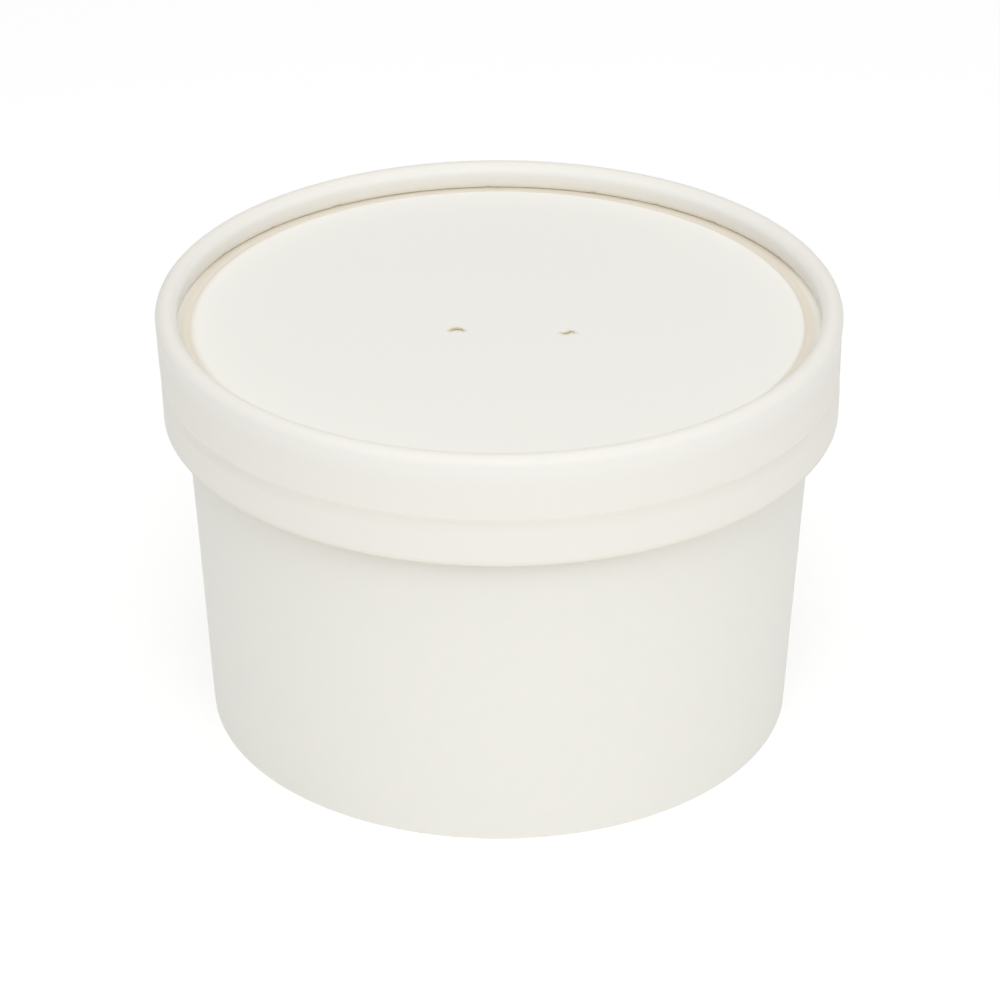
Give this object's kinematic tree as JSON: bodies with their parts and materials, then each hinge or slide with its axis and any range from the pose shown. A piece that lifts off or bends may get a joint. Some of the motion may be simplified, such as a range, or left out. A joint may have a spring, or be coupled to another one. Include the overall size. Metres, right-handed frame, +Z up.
{
  "type": "takeaway soup container",
  "caption": "Squat, slightly tapered white paper soup tub with its rolled-rim paper lid pressed on and two small steam vents in the sunken lid panel.",
  "frame": {"origin": "centre of the ring that the tub stands on, at floor height", "axes": "+Z up along the tub's axis, -Y towards the viewer of the picture, +X to the right"},
  "size_m": [0.1174, 0.1174, 0.0768],
  "materials": {
    "cup_board": "white coated paperboard, satin",
    "lid_board": "white coated paperboard, satin",
    "panel_board": "white coated paperboard, satin"
  },
  "bodies": {
    "root": {"cup": "cup_board", "lid_band": "lid_board", "lid_disc": "panel_board"}
  },
  "joints": []
}
